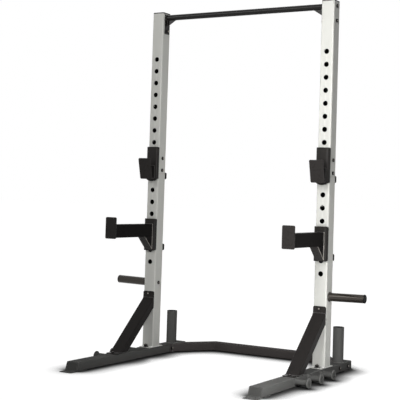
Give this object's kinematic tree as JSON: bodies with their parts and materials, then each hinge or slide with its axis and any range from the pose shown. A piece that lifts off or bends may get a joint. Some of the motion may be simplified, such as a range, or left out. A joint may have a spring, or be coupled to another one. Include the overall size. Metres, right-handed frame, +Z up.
{
  "type": "power rack",
  "caption": "Free-standing half rack with drilled square uprights, long braced feet, pull-up bar, bar hooks, spotter arms, plate pegs and bar tubes.",
  "frame": {"origin": "floor level, at the middle of the rack's footprint", "axes": "+Z up, -Y towards the lifter's side where the hooks and arms stand, +X towards the right-hand upright seen from there"},
  "size_m": [1.6954, 1.3316, 2.159],
  "materials": {
    "upright_silver": "silver-grey powder coat, satin",
    "frame_charcoal": "charcoal powder coat, satin",
    "satin_black": "black powder coat, satin",
    "moulded_black": "moulded black plastic, fine grain",
    "peg_bronze": "dark bronze-grey coat, satin",
    "bolt_steel": "dull zinc plate"
  },
  "bodies": {
    "frame": {"upright_lower_left": "upright_silver", "upright_upper_left": "upright_silver", "foot_rail_left": "frame_charcoal", "foot_front_cap_left": "frame_charcoal", "foot_rear_cap_left": "frame_charcoal", "bar_holder_left": "frame_charcoal", "band_peg_front_left": "frame_charcoal", "band_peg_middle_left": "frame_charcoal", "band_peg_rear_left": "frame_charcoal", "brace_left": "satin_black", "upright_top_cap_left": "moulded_black", "plate_peg_cap_left": "moulded_black", "plate_peg_left": "peg_bronze", "splice_bolt_upper_left": "bolt_steel", "splice_bolt_lower_left": "bolt_steel", "pull_up_bolt_upper_left": "bolt_steel", "pull_up_bolt_lower_left": "bolt_steel", "crossmember_bolt_front_left": "bolt_steel", "crossmember_bolt_rear_left": "bolt_steel", "peg_bolt_left": "bolt_steel", "brace_bolt_upper_left": "bolt_steel", "brace_bolt_lower_left": "bolt_steel", "splice_sleeve_left": "bolt_steel", "upright_lower_right": "upright_silver", "upright_upper_right": "upright_silver", "foot_rail_right": "frame_charcoal", "foot_front_cap_right": "frame_charcoal", "foot_rear_cap_right": "frame_charcoal", "bar_holder_right": "frame_charcoal", "band_peg_front_right": "frame_charcoal", "band_peg_middle_right": "frame_charcoal", "band_peg_rear_right": "frame_charcoal", "brace_right": "satin_black", "upright_top_cap_right": "moulded_black", "plate_peg_cap_right": "moulded_black", "plate_peg_right": "peg_bronze", "splice_bolt_upper_right": "bolt_steel", "splice_bolt_lower_right": "bolt_steel", "pull_up_bolt_upper_right": "bolt_steel", "pull_up_bolt_lower_right": "bolt_steel", "crossmember_bolt_front_right": "bolt_steel", "crossmember_bolt_rear_right": "bolt_steel", "peg_bolt_right": "bolt_steel", "brace_bolt_upper_right": "bolt_steel", "brace_bolt_lower_right": "bolt_steel", "splice_sleeve_right": "bolt_steel", "pull_up_bar": "satin_black", "rear_crossmember": "frame_charcoal"},
    "j_hook_left": {"j_hook_left": "satin_black", "j_hook_pad_left": "moulded_black"},
    "j_hook_lock_pin_left": {"j_hook_lock_pin_left": "moulded_black"},
    "spotter_arm_left": {"spotter_arm_left": "satin_black", "spotter_arm_pad_left": "moulded_black"},
    "spotter_arm_lock_pin_left": {"spotter_arm_lock_pin_left": "moulded_black"},
    "j_hook_right": {"j_hook_right": "satin_black", "j_hook_pad_right": "moulded_black"},
    "j_hook_lock_pin_right": {"j_hook_lock_pin_right": "moulded_black"},
    "spotter_arm_right": {"spotter_arm_right": "satin_black", "spotter_arm_pad_right": "moulded_black"},
    "spotter_arm_lock_pin_right": {"spotter_arm_lock_pin_right": "moulded_black"}
  },
  "joints": [
    {"name": "j_hook_left_pull", "type": "slide", "parent": "frame", "child": "j_hook_left", "axis": [0, -1, 0], "range_m": [0, 0.09]},
    {"name": "j_hook_lock_pin_left_pull", "type": "slide", "parent": "frame", "child": "j_hook_lock_pin_left", "axis": [0, 1, 0], "range_m": [0, 0.12]},
    {"name": "spotter_arm_left_pull", "type": "slide", "parent": "frame", "child": "spotter_arm_left", "axis": [0, -1, 0], "range_m": [0, 0.09]},
    {"name": "spotter_arm_lock_pin_left_pull", "type": "slide", "parent": "frame", "child": "spotter_arm_lock_pin_left", "axis": [0, 1, 0], "range_m": [0, 0.12]},
    {"name": "j_hook_right_pull", "type": "slide", "parent": "frame", "child": "j_hook_right", "axis": [0, -1, 0], "range_m": [0, 0.09]},
    {"name": "j_hook_lock_pin_right_pull", "type": "slide", "parent": "frame", "child": "j_hook_lock_pin_right", "axis": [0, 1, 0], "range_m": [0, 0.12]},
    {"name": "spotter_arm_right_pull", "type": "slide", "parent": "frame", "child": "spotter_arm_right", "axis": [0, -1, 0], "range_m": [0, 0.09]},
    {"name": "spotter_arm_lock_pin_right_pull", "type": "slide", "parent": "frame", "child": "spotter_arm_lock_pin_right", "axis": [0, 1, 0], "range_m": [0, 0.12]}
  ]
}
